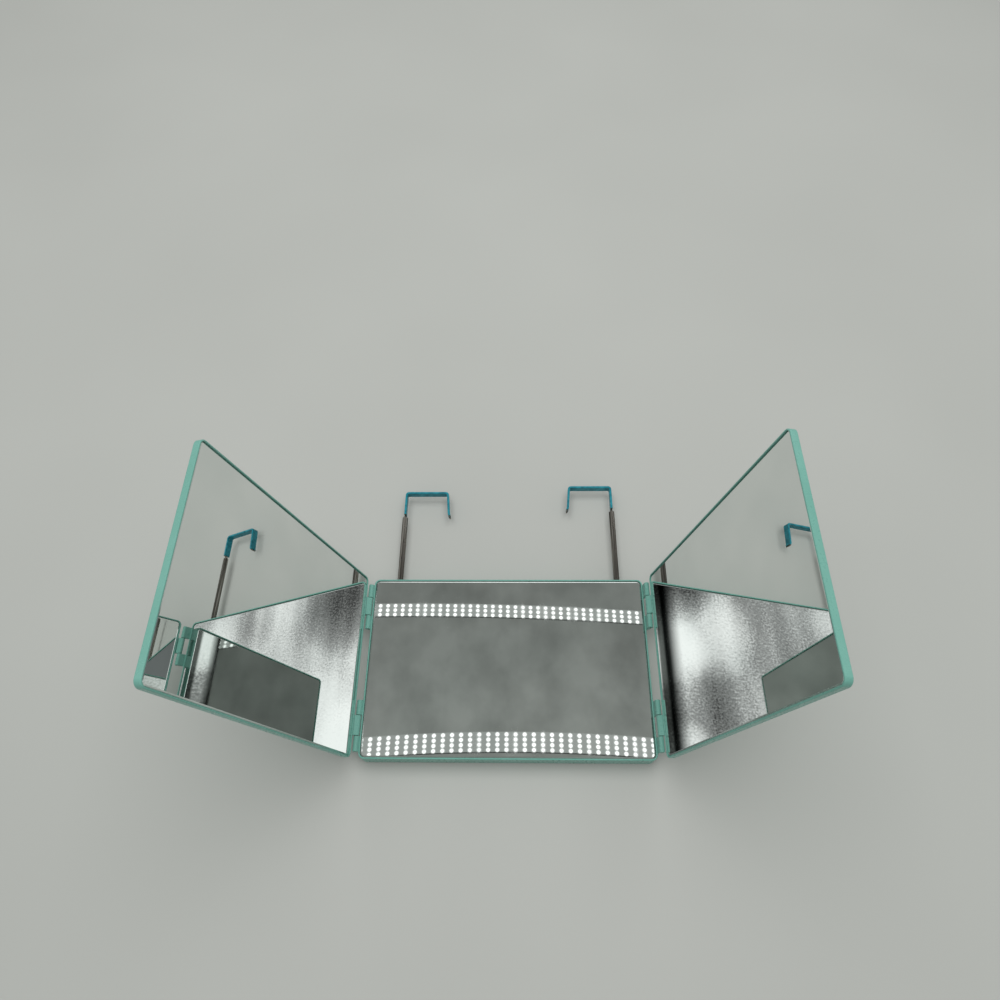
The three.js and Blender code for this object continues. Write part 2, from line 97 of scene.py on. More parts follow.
studioLight = {
    "fill": "b2b3b1",
    "backdrop": "dcdddb",
    "overheadPower": 40,
    "overheadSize": 2.2,
    "overheadPlace": (0, 0.5, 2.2),
}


def addOverhead():
    # a broad soft lamp that no mirror shows
    lamp = bpy.data.lights.new("overhead", "AREA")
    lamp.shape = "RECTANGLE"
    lamp.size = lamp.size_y = studioLight["overheadSize"]
    lamp.energy = studioLight["overheadPower"]
    holder = bpy.data.objects.new("overhead", lamp)
    holder.location = studioLight["overheadPlace"]
    holder.visible_camera = False
    holder.visible_glossy = False
    bpy.context.scene.collection.objects.link(holder)


def reckon(tree, operation, *values):
    # a Math node whose inputs are numbers or other nodes' outputs
    node = addNode(tree, "ShaderNodeMath", operation=operation)
    for socket, value in zip(node.inputs, values):
        if isinstance(value, (int, float)):
            socket.default_value = value
        else:
            tree.links.new(value, socket)
    return node.outputs[0]


def blend(tree, factor, first, second, kind="MIX"):
    # mixes two colours, each a written one or another node's output
    node = addNode(tree, "ShaderNodeMix", data_type="RGBA", blend_type=kind)
    for name, value in (("Factor", factor), ("A", first), ("B", second)):
        if isinstance(value, (int, float)):
            node.inputs[name].default_value = value
        elif isinstance(value, str):
            node.inputs[name].default_value = colour(value)
        else:
            tree.links.new(value, node.inputs[name])
    return node.outputs["Result"]


# What reflections meet: a tent of crumpled silver cloth round a dull roof with two strips of small lamps.
# Places in it are slopes: the way across, or up the panel, divided by the way towards the roof.
tent = {
    "leastHeight": 0.05,
    "roof": [(0.2, "8e928e"), (0.5, "767976")],
    "roofCreases": [(0.3, "d6d6d6"), (0.62, "ffffff")],
    # steps outwards from the roof: its dark edge, a grey hem, bright cloth, a dull hem, a second dark seam
    "seamPlace": 0.622,
    "seam": [
        (0, "0e100f"), (0.004, "0e100f"), (0.006, "9a9d9b"), (0.01, "8a8d8b"), (0.012, "ffffff"),
        (0.031, "ffffff"), (0.033, "626563"), (0.042, "5a5d5b"), (0.044, "0e100f"), (0.053, "0e100f"),
        (0.056, "484a49"), (0.078, "ffffff"),
    ],
    "cloth": [(0.29, "383838"), (0.5, "969696"), (0.67, "e6e6e6"), (0.83, "ffffff")],
    "clothGlow": 1.25,
    "front": [(-0.3, "a4a6a5"), (-0.05, "ffffff")],
    "far": (2.7, 4.2),
    "farCloth": "76797a",
    "folds": {"across": 9, "up": 1.3, "detail": 3, "share": 0.56},
    "clouds": {"across": 4, "up": 5, "detail": 2, "share": 0.3},
    "grain": {"across": 250, "up": 300, "detail": 2, "share": 0.46},
    "creases": {"across": 15, "up": 12, "detail": 5, "share": 1},
    # where the cloth is lighter or darker: across, up, how far that reaches and how much it adds
    "patches": [
        (-0.76, 0.4, 0.1, 0.22), (-0.7, 0.35, 0.06, 0.14), (-0.7, 0.19, 0.05, 0.2), (-0.76, 0.26, 0.09, -0.1),
        (-0.69, 0.48, 0.09, -0.3), (0.95, 0.21, 0.1, 0.16), (1.25, 0.5, 0.08, -0.1), (1.15, 0.33, 0.42, 0.16),
        (0.97, 0.51, 0.13, -0.2), (1.02, 0.27, 0.1, 0.14), (-0.648, 0.33, 0.05, 0.28), (0, 0.92, 0.4, 0.35),
        (2.1, 0.6, 0.7, 0.35), (-1.4, 0.55, 0.28, 0.35),
    ],
    "strip": "a0a4a1",
    "stripEdge": "454846",
    "stripEdgeWidth": 0.0016,
    "lampGlow": 1.3,
    "lampFade": (1.3, 0.6),
    "strips": [
        {"level": 0.355, "slope": -0.03, "bow": -0.11, "rowStep": 0.0068, "rows": 3, "columnStep": 0.01114,
         "radius": 0.0026},
        {"level": 0.17, "slope": 0, "bow": -0.2, "rowStep": 0.0067, "rows": 4, "columnStep": 0.01235,
         "radius": 0.0027},
    ],
}


def scaled(tree, tone, factor):
    # a colour times a factor that may be above one
    node = addNode(tree, "ShaderNodeVectorMath", operation="SCALE")
    if isinstance(tone, str):
        node.inputs[0].default_value = colour(tone)[:3]
    else:
        tree.links.new(tone, node.inputs[0])
    if isinstance(factor, (int, float)):
        node.inputs["Scale"].default_value = factor
    else:
        tree.links.new(factor, node.inputs["Scale"])
    return node.outputs[0]


def lampStrip(tree, across, up, strip):
    # where the bowed strip is, its small lamps, and the thin dark line below it
    bowed = reckon(tree, "MULTIPLY_ADD", across, strip["bow"], strip["slope"])
    level = reckon(tree, "MULTIPLY_ADD", across, bowed, strip["level"])
    away = reckon(tree, "SUBTRACT", up, level)
    half = strip["rows"] * strip["rowStep"] / 2
    band = reckon(tree, "LESS_THAN", reckon(tree, "ABSOLUTE", away), half)
    shift = reckon(tree, "ADD", away, half - strip["rowStep"] / 2)
    row = reckon(tree, "PINGPONG", shift, strip["rowStep"] / 2)
    column = reckon(tree, "PINGPONG", across, strip["columnStep"] / 2)
    square = reckon(tree, "MULTIPLY_ADD", row, row, reckon(tree, "MULTIPLY", column, column))
    outer, inner = [strip["radius"] * share for share in tent["lampFade"]]
    lamp = addNode(tree, "ShaderNodeMapRange", {"From Min": outer, "From Max": inner})
    tree.links.new(reckon(tree, "SQRT", square), lamp.inputs["Value"])
    below = reckon(tree, "ABSOLUTE", reckon(tree, "ADD", away, half))
    line = reckon(tree, "LESS_THAN", below, tent["stripEdgeWidth"] / 2)
    return band, reckon(tree, "MULTIPLY", lamp.outputs["Result"], band), line


def addRelief(tree, across, up, part, relief=0.5):
    # adds one size of fold or crease to what is there, about a middle of 0.5
    place = addNode(tree, "ShaderNodeCombineXYZ")
    tree.links.new(reckon(tree, "MULTIPLY", across, part["across"]), place.inputs["X"])
    tree.links.new(reckon(tree, "MULTIPLY", up, part["up"]), place.inputs["Y"])
    noise = addNode(tree, "ShaderNodeTexNoise", {"Scale": 1, "Detail": part["detail"]})
    tree.links.new(place.outputs[0], noise.inputs["Vector"])
    height = reckon(tree, "SUBTRACT", noise.outputs["Fac"], 0.5)
    return reckon(tree, "MULTIPLY_ADD", height, part["share"], relief)


def addPatches(tree, across, up, relief):
    for patchAcross, patchUp, reach, gain in tent["patches"]:
        sideways = reckon(tree, "POWER", reckon(tree, "SUBTRACT", across, patchAcross), 2)
        along = reckon(tree, "POWER", reckon(tree, "SUBTRACT", up, patchUp), 2)
        fade = addNode(tree, "ShaderNodeMapRange", {"From Max": reach ** 2, "To Min": gain, "To Max": 0})
        tree.links.new(reckon(tree, "ADD", sideways, along), fade.inputs["Value"])
        relief = reckon(tree, "ADD", relief, fade.outputs["Result"])
    return relief


def addTent(tree, way):
    parts = addNode(tree, "ShaderNodeSeparateXYZ")
    tree.links.new(way, parts.inputs[0])
    height = reckon(tree, "MAXIMUM", parts.outputs["Z"], tent["leastHeight"])
    across = reckon(tree, "DIVIDE", parts.outputs["X"], height)
    up = reckon(tree, "DIVIDE", parts.outputs["Y"], height)
    away = reckon(tree, "MAXIMUM", reckon(tree, "ABSOLUTE", across), reckon(tree, "ABSOLUTE", up))
    creased = ramp(tree, addRelief(tree, across, up, tent["creases"]), tent["roofCreases"])
    roof = blend(tree, 1, ramp(tree, away, tent["roof"]), creased, "MULTIPLY")
    for strip in tent["strips"]:
        band, lamps, line = lampStrip(tree, across, up, strip)
        roof = blend(tree, band, roof, tent["strip"])
        roof = blend(tree, line, roof, tent["stripEdge"])
        glow = reckon(tree, "MULTIPLY", lamps, tent["lampGlow"])
        roof = blend(tree, 1, roof, scaled(tree, "ffffff", glow), "ADD")
    relief = addRelief(tree, across, up, tent["folds"])
    for part in ("clouds", "grain"):
        relief = addRelief(tree, across, up, tent[part], relief)
    relief = addPatches(tree, across, up, relief)
    edge = tent["seamPlace"]
    seam = ramp(tree, away, [(edge + step, code) for step, code in tent["seam"]])
    bright = scaled(tree, ramp(tree, relief, tent["cloth"]), tent["clothGlow"])
    cloth = blend(tree, 1, bright, seam, "MULTIPLY")
    near, far = tent["far"]
    plain = addNode(tree, "ShaderNodeMapRange", {"From Min": near, "From Max": far})
    tree.links.new(away, plain.inputs["Value"])
    cloth = blend(tree, plain.outputs["Result"], cloth, tent["farCloth"])
    lift = 0.5  # a ramp has no places below 0
    front = ramp(tree, reckon(tree, "ADD", up, lift), [(lift + step, code) for step, code in tent["front"]])
    cloth = blend(tree, 1, cloth, front, "MULTIPLY")
    return blend(tree, reckon(tree, "GREATER_THAN", away, edge), roof, cloth)


def addWorld():
    world = bpy.data.worlds.new("studio")
    world.use_nodes = True
    bpy.context.scene.world = world
    tree = world.node_tree
    background = tree.nodes["Background"]
    seen = addTent(tree, addNode(tree, "ShaderNodeTexCoord").outputs["Generated"])
    ray = addNode(tree, "ShaderNodeLightPath").outputs
    mirrored = reckon(tree, "MAXIMUM", ray["Is Glossy Ray"], ray["Is Transmission Ray"])
    lit = blend(tree, mirrored, studioLight["fill"], seen)
    shown = blend(tree, ray["Is Camera Ray"], lit, studioLight["backdrop"])
    tree.links.new(shown, background.inputs["Color"])


floorFinish = {
    "size": 12,
    "colours": [(0.3, "b1b3af"), (0.7, "b5b7b3")],
    "cloud": (3, 2),
    "roughness": 0.85,
    "gloss": 0.1,
}


def addFloor():
    shape = bmesh.new()
    bmesh.ops.create_grid(shape, x_segments=1, y_segments=1, size=floorFinish["size"] / 2)
    mesh = bpy.data.meshes.new("floor")
    shape.to_mesh(mesh)
    shape.free()
    floor = bpy.data.objects.new("floor", mesh)
    bpy.context.scene.collection.objects.link(floor)
    material = bpy.data.materials.new("floor paper")
    material.use_nodes = True
    tree = material.node_tree
    shader = tree.nodes["Principled BSDF"]
    shader.inputs["Roughness"].default_value = floorFinish["roughness"]
    shader.inputs["Specular IOR Level"].default_value = floorFinish["gloss"]
    spot = addNode(tree, "ShaderNodeTexCoord").outputs["Object"]
    scale, detail = floorFinish["cloud"]
    cloud = addNode(tree, "ShaderNodeTexNoise", {"Scale": scale, "Detail": detail})
    tree.links.new(spot, cloud.inputs["Vector"])
    tone = ramp(tree, cloud.outputs["Fac"], floorFinish["colours"])
    tree.links.new(tone, shader.inputs["Base Color"])
    mesh.materials.append(material)


def addStudio():
    bpy.context.scene.view_settings.view_transform = "Standard"
    addCamera()
    addFloor()
    addWorld()
    addOverhead()
    print("studio ready")


addStudio()


# In the finishes below, a noise is (waves per metre, detail), the colours are (place on the noise, colour),
# and a bump is (strength, depth in metres).
def startMaterial(name, **constants):
    # constants are the shader's own sockets, with _ for a space
    material = bpy.data.materials.new(name)
    material.use_nodes = True
    tree = material.node_tree
    shader = tree.nodes["Principled BSDF"]
    for socket, value in constants.items():
        shader.inputs[socket.replace("_", " ")].default_value = value
    spot = addNode(tree, "ShaderNodeTexCoord").outputs["Object"]
    return material, tree, shader, spot


def noiseAt(tree, spot, grain, stretch=(1, 1, 1), **inputs):
    # noise stretched along the axes
    scale, detail = grain
    mapping = addNode(tree, "ShaderNodeMapping", {"Scale": stretch})
    tree.links.new(spot, mapping.inputs["Vector"])
    noise = addNode(tree, "ShaderNodeTexNoise", {"Scale": scale, "Detail": detail, **inputs})
    tree.links.new(mapping.outputs["Vector"], noise.inputs["Vector"])
    return noise.outputs["Fac"]


def setColour(tree, shader, source, stops):
    tree.links.new(ramp(tree, source, stops), shader.inputs["Base Color"])


def setRoughness(tree, shader, source, ends, sourceEnds=(0.3, 0.7)):
    spread = addNode(tree, "ShaderNodeMapRange", {
        "From Min": sourceEnds[0], "From Max": sourceEnds[1], "To Min": ends[0], "To Max": ends[1],
    })
    tree.links.new(source, spread.inputs["Value"])
    tree.links.new(spread.outputs["Result"], shader.inputs["Roughness"])


def setBump(tree, shader, source, strength, depth):
    bump = addNode(tree, "ShaderNodeBump", {"Strength": strength, "Distance": depth})
    tree.links.new(source, bump.inputs["Height"])
    tree.links.new(bump.outputs["Normal"], shader.inputs["Normal"])


mintFinish = {
    "colours": [(0.3, "6ba396"), (0.5, "6ea699"), (0.7, "73aa9e")],
    "mottle": (45, 3),
    "haze": (420, 4),
    "roughness": (0.24, 0.36),
    "grain": (3200, 2),
    "bump": (0.08, 0.00002),
}


def mintPlastic():
    material, tree, shader, spot = startMaterial("mint moulded plastic", IOR=1.54)
    setColour(tree, shader, noiseAt(tree, spot, mintFinish["mottle"]), mintFinish["colours"])
    setRoughness(tree, shader, noiseAt(tree, spot, mintFinish["haze"]), mintFinish["roughness"])
    setBump(tree, shader, noiseAt(tree, spot, mintFinish["grain"]), *mintFinish["bump"])
    return material


mirrorFinish = {
    "colours": [(0.35, "e6eae8"), (0.65, "edf0ee")],
    "cloud": (18, 2),
    "wiping": (60, 6),
    "wipingStretch": (1, 0.25, 1),
    "wipingSwirl": 0.8,
    "wipingEnds": (0.45, 0.8),
    "roughness": (0.008, 0.03),
}


def mirrorSilver():
    # a faint film where the glass was wiped
    material, tree, shader, spot = startMaterial("silvered mirror", Metallic=1.0)
    setColour(tree, shader, noiseAt(tree, spot, mirrorFinish["cloud"]), mirrorFinish["colours"])
    swirl = mirrorFinish["wipingSwirl"]
    wiping = noiseAt(tree, spot, mirrorFinish["wiping"], mirrorFinish["wipingStretch"], Distortion=swirl)
    setRoughness(tree, shader, wiping, mirrorFinish["roughness"], mirrorFinish["wipingEnds"])
    return material


groundFinish = {
    "colours": [(0.3, "8fa39b"), (0.7, "b3c4bd")],
    "cloud": (900, 3),
    "grain": (2500, 2),
    "roughness": (0.35, 0.55),
}


def groundGlass():
    material, tree, shader, spot = startMaterial("ground glass edge", IOR=1.52)
    setColour(tree, shader, noiseAt(tree, spot, groundFinish["cloud"]), groundFinish["colours"])
    setRoughness(tree, shader, noiseAt(tree, spot, groundFinish["grain"]), groundFinish["roughness"])
    return material


bevelFinish = {
    "colours": [(0.3, "dde4e1"), (0.7, "edf2f0")],
    "cloud": (400, 3),
    "haze": (900, 3),
    "roughness": (0.05, 0.12),
}


def bevelledGlass():
    material, tree, shader, spot = startMaterial("polished glass bevel", Metallic=1.0)
    setColour(tree, shader, noiseAt(tree, spot, bevelFinish["cloud"]), bevelFinish["colours"])
    setRoughness(tree, shader, noiseAt(tree, spot, bevelFinish["haze"]), bevelFinish["roughness"])
    return material


steelFinish = {
    "colours": [(0.3, "4f4c47"), (0.5, "827e77"), (0.68, "c6c2ba")],
    "edge": "2a2724",
    "lines": (900, 3),
    "lineStretch": (1, 0.02, 1),
    "smears": (160, 4),
    "smearStretch": (1, 0.3, 1),
    "roughness": (0.24, 0.38),
    "bump": (0.15, 0.00002),
}


def drawnSteel():
    # dull stainless with fine lines along the way it was drawn, which is the rods' own
    material, tree, shader, spot = startMaterial("drawn dark steel", Metallic=1.0)
    shader.inputs["Specular Tint"].default_value = colour(steelFinish["edge"])
    lines = noiseAt(tree, spot, steelFinish["lines"], steelFinish["lineStretch"])
    setColour(tree, shader, lines, steelFinish["colours"])
    smears = noiseAt(tree, spot, steelFinish["smears"], steelFinish["smearStretch"])
    setRoughness(tree, shader, smears, steelFinish["roughness"])
    setBump(tree, shader, lines, *steelFinish["bump"])
    return material


zincFinish = {
    "colours": [(0.3, "93979b"), (0.55, "acaeaf"), (0.75, "bdbcb4")],
    "bloom": (1400, 5),
    "roughness": (0.28, 0.46),
    "grain": (5000, 2),
    "bump": (0.1, 0.00001),
}


def zincSteel():
    material, tree, shader, spot = startMaterial("zinc plated steel", Metallic=1.0)
    bloom = noiseAt(tree, spot, zincFinish["bloom"])
    setColour(tree, shader, bloom, zincFinish["colours"])
    setRoughness(tree, shader, bloom, zincFinish["roughness"])
    setBump(tree, shader, noiseAt(tree, spot, zincFinish["grain"]), *zincFinish["bump"])
    return material


nylonFinish = {
    "colours": [(0.3, "8f918d"), (0.7, "a3a5a1")],
    "cloud": (700, 3),
    "haze": (1500, 3),
    "roughness": (0.45, 0.62),
    "grain": (4200, 2),
    "bump": (0.15, 0.00002),
}


def nylonPlastic():
    material, tree, shader, spot = startMaterial("grey nylon", IOR=1.53)
    setColour(tree, shader, noiseAt(tree, spot, nylonFinish["cloud"]), nylonFinish["colours"])
    setRoughness(tree, shader, noiseAt(tree, spot, nylonFinish["haze"]), nylonFinish["roughness"])
    setBump(tree, shader, noiseAt(tree, spot, nylonFinish["grain"]), *nylonFinish["bump"])
    return material


sleeveFinish = {
    "colours": [(0.3, "0c6876"), (0.5, "187d8c"), (0.7, "3093a1")],
    "cloud": (220, 4),
    "haze": (800, 4),
    "roughness": (0.3, 0.44),
    "grain": (1300, 3),
    "bump": (0.25, 0.00005),
}


def turquoiseSleeve():
    material, tree, shader, spot = startMaterial("turquoise soft sleeve", IOR=1.5, Specular_IOR_Level=0.35)
    setColour(tree, shader, noiseAt(tree, spot, sleeveFinish["cloud"]), sleeveFinish["colours"])
    setRoughness(tree, shader, noiseAt(tree, spot, sleeveFinish["haze"]), sleeveFinish["roughness"])
    setBump(tree, shader, noiseAt(tree, spot, sleeveFinish["grain"]), *sleeveFinish["bump"])
    return material


foamFinish = {
    "colours": [(0.1, "bdbab0"), (0.6, "dedbd1")],
    "cells": 2600,
    "bump": (0.4, 0.0001),
}


def adhesiveFoam():
    material, tree, shader, spot = startMaterial("adhesive foam", IOR=1.45, Roughness=0.9)
    cells = addNode(tree, "ShaderNodeTexVoronoi", {"Scale": foamFinish["cells"]})
    tree.links.new(spot, cells.inputs["Vector"])
    setColour(tree, shader, cells.outputs["Distance"], foamFinish["colours"])
    setBump(tree, shader, cells.outputs["Distance"], *foamFinish["bump"])
    return material


finishes = {
    "mint": mintPlastic(),
    "mirror": mirrorSilver(),
    "bevel": bevelledGlass(),
    "glassEdge": groundGlass(),
    "steel": drawnSteel(),
    "zinc": zincSteel(),
    "nylon": nylonPlastic(),
    "sleeve": turquoiseSleeve(),
    "foam": adhesiveFoam(),
}
print("finishes ready:", len(finishes))


millimetre = 0.001  # in metres
mergeReach = 0.0005  # mm, under which two points of a cut or a joint are one
poleMerge = 1e-4  # mm, the same for the poles and the seam of a turned shape
levelPlay = 1e-3  # mm that a face or an edge may be off its level
cutPast = 1  # mm that a cutter reaches past what it cuts


def movedVerts(result):
    # the points that an extrusion made
    return [part for part in result["geom"] if isinstance(part, bmesh.types.BMVert)]


def edgesOf(parts):
    return [part for part in parts if isinstance(part, bmesh.types.BMEdge)]


def shifted(shape, move=(0, 0, 0), turn=0, axis="Z"):
    matrix = Matrix.Translation(move) @ Matrix.Rotation(radians(turn), 4, axis)
    bmesh.ops.transform(shape, matrix=matrix, verts=shape.verts)
    return shape


def gather(shapes):
    # puts shapes that don't touch into one
    whole = bmesh.new()
    for shape in shapes:
        part = bpy.data.meshes.new("part")
        shape.to_mesh(part)
        shape.free()
        whole.from_mesh(part)
        bpy.data.meshes.remove(part)
    return whole


def mix(shape, other, operation):
    # joins, cuts or crosses two closed shapes
    pair = []
    for part in (shape, other):
        mesh = bpy.data.meshes.new("part")
        part.to_mesh(mesh)
        part.free()
        holder = bpy.data.objects.new("part", mesh)
        bpy.context.scene.collection.objects.link(holder)
        pair.append(holder)
    cutter = pair[0].modifiers.new("mix", "BOOLEAN")
    cutter.operation = operation
    cutter.solver = "EXACT"
    cutter.object = pair[1]
    graph = bpy.context.evaluated_depsgraph_get()
    mixed = bmesh.new()
    mixed.from_mesh(pair[0].evaluated_get(graph).to_mesh())
    for holder in pair:
        mesh = holder.data
        bpy.data.objects.remove(holder)
        bpy.data.meshes.remove(mesh)
    bmesh.ops.remove_doubles(mixed, verts=mixed.verts, dist=mergeReach)
    return mixed


def roundCorners(shape, radius, steps):
    bmesh.ops.bevel(
        shape, geom=shape.verts[:], offset=radius, segments=steps, affect="VERTICES", profile=0.5,
        material=-1,
    )


def roundEdges(shape, edges, radius, steps):
    bmesh.ops.bevel(
        shape, geom=edges, offset=radius, segments=steps, affect="EDGES", profile=0.5, material=-1,
        clamp_overlap=True,
    )


def plate(width, height, corner, low, high, steps=8):
    shape = bmesh.new()
    bmesh.ops.create_grid(shape, x_segments=1, y_segments=1, size=0.5)
    bmesh.ops.scale(shape, vec=(width, height, 1), verts=shape.verts)
    roundCorners(shape, corner, steps)
    shifted(shape, (0, 0, low))
    pushed = bmesh.ops.extrude_face_region(shape, geom=shape.faces[:])
    bmesh.ops.translate(shape, vec=(0, 0, high - low), verts=movedVerts(pushed))
    bmesh.ops.recalc_face_normals(shape, faces=shape.faces[:])
    return shape


def levelFace(shape, height):
    # the largest face that lies level at a height
    level = [
        face for face in shape.faces
        if abs(abs(face.normal.z) - 1) < levelPlay and abs(face.calc_center_median().z - height) < levelPlay
    ]
    return max(level, key=lambda face: face.calc_area())


def insetFace(shape, face, reach, depth=0):
    bmesh.ops.inset_region(
        shape, faces=[face], thickness=reach, depth=depth, use_even_offset=True, use_boundary=True,
    )


def sink(shape, face, depth):
    # pushes a face in along Z and leaves the walls behind it
    pushed = bmesh.ops.extrude_face_region(shape, geom=[face])
    bmesh.ops.delete(shape, geom=[face], context="FACES_ONLY")
    bmesh.ops.translate(shape, vec=(0, 0, depth), verts=movedVerts(pushed))


def cylinder(radius, length, sides=48):
    # stands on the XY plane
    shape = bmesh.new()
    bmesh.ops.create_cone(
        shape, cap_ends=True, segments=sides, radius1=radius, radius2=radius, depth=length,
        matrix=Matrix.Translation((0, 0, length / 2)),
    )
    return shape


def barrel(x, z, radius, start, end, sides=48):
    # lies along Y
    return shifted(shifted(cylinder(radius, end - start, sides), turn=-90, axis="X"), (x, start, z))


def turned(profile, sides=48):
    # turns a profile of (radius, y) round the Y axis; it starts and ends on the axis or closes on itself
    shape = bmesh.new()
    points = [shape.verts.new((radius, y, 0)) for radius, y in profile]
    edges = [shape.edges.new(pair) for pair in zip(points, points[1:])]
    if profile[0][0] > 0:
        edges.append(shape.edges.new((points[-1], points[0])))
    bmesh.ops.spin(
        shape, geom=points + edges, cent=(0, 0, 0), axis=(0, 1, 0), dvec=(0, 0, 0), angle=2 * pi, steps=sides,
        use_merge=True, use_duplicate=False,
    )
    bmesh.ops.remove_doubles(shape, verts=shape.verts, dist=poleMerge)
    bmesh.ops.recalc_face_normals(shape, faces=shape.faces[:])
    return shape


def arc(centre, radius, start, end, steps):
    # points of a round edge of a profile, from angle start to end in degrees
    angles = [radians(start + (end - start) * i / steps) for i in range(steps + 1)]
    return [(centre[0] + radius * cos(angle), centre[1] + radius * sin(angle)) for angle in angles]


def finishPiece(name, shape, finish, body, replaced, sharp=34):
    # edges that turn by more than sharp, in degrees, stay crisp
    bmesh.ops.scale(shape, vec=(millimetre, millimetre, millimetre), verts=shape.verts)
    shape.normal_update()
    for face in shape.faces:
        face.smooth = True
    for edge in shape.edges:
        edge.smooth = edge.calc_face_angle(0) < radians(sharp)
    mesh = bpy.data.meshes.new(name)
    shape.to_mesh(mesh)
    shape.free()
    for one in finish if isinstance(finish, list) else [finish]:
        mesh.materials.append(finishes[one])
    piece = bpy.data.objects.new(name, mesh)
    bpy.context.scene.collection.objects.link(piece)
    even = piece.modifiers.new("even normals", "WEIGHTED_NORMAL")
    even.keep_sharp = True
    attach(piece, body)
    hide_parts(replaced)
    return piece


panel = {
    "width": 240,
    "wingWidth": 238,
    "height": 154,
    "corner": 5,
    "rim": 1.3,
    "rimSlope": 0.2,
    "rimStand": 0.8,
    "brinkRound": 0.1,
    "brinkSteps": 2,
    "pocket": 3.7,
    "frontRound": 0.7,
    "frontSteps": 5,
    "backRound": 1.2,
    "backSteps": 6,
    "wingThickness": 5,
    "centreFace": 18,
    "joint": 9.5,
    "jointGap": 0.1,
    "jointBevel": 0.25,
    "jointSteps": 2,
    "wall": 2,
    "trayUnderside": 12.9,
    "coverFloor": 1.8,
}


def hollowFace(shape, face):
    # the recess for the glass, sloped along the rim
    inner = levelFace(shape, face)
    slope = panel["rimSlope"]
    insetFace(shape, inner, panel["rim"] - slope - panel["frontRound"])
    brink = list(inner.edges)
    insetFace(shape, inner, slope, -slope)
    foot = list(inner.edges)
    sink(shape, inner, slope - panel["pocket"])
    roundEdges(shape, brink + foot, panel["brinkRound"], panel["brinkSteps"])


hinge = {
    "inset": 5.5,
    "end": 12,
    "middle": 16,
    "gap": 0.4,
    "radius": 2.2,
    "holeFit": 0.05,
    "holeLoose": 0.3,
    "pinRadius": 0.8,
    "pinRecess": 0.6,
    "pinRound": 0.25,
    "pinSteps": 4,
    "pinSides": 32,
    "axisToWing": 4.1,
    "webDepth": 3.6,
    "webRoot": 0.4,
    "webDrop": 1.2,
    "offset": 122.6,
    "leftHeight": 17.8,
    "rightHeight": 23.5,
    "leftAngle": 74.9,
    "rightAngle": 79.2,
    "wingFace": -1.2,
    "edge": 0.3,
    "edgeSteps": 3,
    "sides": 48,
    "flatWithin": 1,
}
hingeLength = 2 * hinge["end"] + hinge["middle"] + 2 * hinge["gap"]
hingeStarts = [-panel["height"] / 2 + hinge["inset"], panel["height"] / 2 - hinge["inset"] - hingeLength]


def knuckle(x, z, rootX, rootTop, rootBottom, start, end):
    # the barrel and the web behind it are the skin stretched round both
    shape = bmesh.new()
    for y in (start, end):
        bmesh.ops.create_circle(
            shape, segments=hinge["sides"], radius=hinge["radius"],
            matrix=Matrix.Translation((x, y, z)) @ Matrix.Rotation(pi / 2, 4, "X"),
        )
        for rootZ in (rootTop, rootBottom):
            bmesh.ops.create_vert(shape, co=(rootX, y, rootZ))
    skin = bmesh.ops.convex_hull(shape, input=shape.verts[:], use_existing_faces=False)
    spare = [part for part in skin["geom_interior"] if isinstance(part, bmesh.types.BMVert)]
    bmesh.ops.delete(shape, geom=spare, context="VERTS")
    flat = radians(hinge["flatWithin"])
    bmesh.ops.dissolve_limit(shape, angle_limit=flat, verts=shape.verts[:], edges=shape.edges[:])
    bmesh.ops.recalc_face_normals(shape, faces=shape.faces[:])
    rims = [
        edge for edge in shape.edges
        if any(all(abs(vert.co.y - y) < levelPlay for vert in edge.verts) for y in (start, end))
    ]
    roundEdges(shape, rims, hinge["edge"], hinge["edgeSteps"])
    return shape


def stretches(hingeStart):
    # the lengths of the axis that the two fixed knuckles take, and the one that the turning knuckle takes
    middle = hingeStart + hinge["end"] + hinge["gap"]
    upper = middle + hinge["middle"] + hinge["gap"]
    fixed = [(start, start + hinge["end"]) for start in (hingeStart, upper)]
    return fixed, (middle, middle + hinge["middle"])


def pinHole(x, z, play, start, end):
    return barrel(x, z, hinge["pinRadius"] + play, start - cutPast, end + cutPast, hinge["pinSides"])


def wingMoulding():
    top = hinge["wingFace"]
    low = top - panel["wingThickness"]
    shape = plate(panel["wingWidth"], panel["height"], panel["corner"], low, top)
    for height in (low, top):
        roundEdges(shape, list(levelFace(shape, height).edges), panel["frontRound"], panel["frontSteps"])
    hollowFace(shape, top)
    shifted(shape, (hinge["axisToWing"] + panel["wingWidth"] / 2, 0, 0))
    middles = [stretches(start)[1] for start in hingeStarts]
    rootX = hinge["axisToWing"] + hinge["webRoot"]
    webTop = top - panel["frontRound"]
    web = webTop - hinge["webDrop"], webTop - hinge["webDepth"]
    knuckles = [knuckle(0, 0, rootX, *web, *middle) for middle in middles]
    holes = [pinHole(0, 0, hinge["holeLoose"], *middle) for middle in middles]
    return mix(mix(shape, gather(knuckles), "UNION"), gather(holes), "DIFFERENCE")


glass = {
    "finish": ["mirror", "bevel", "glassEdge"],
    "thickness": 1.8,
    "play": 0.25,
    "bevel": 1.1,
    "bevelDepth": 0.6,
    "arris": 0.25,
    "arrisDepth": 0.44,
    "cornerSteps": 10,
    "sharp": 10,
    "mirrorTilt": 2.5,  # degrees, the most that a face with the mirror's finish leans
    "bevelTilt": 25,  # and one with the bevel's
}


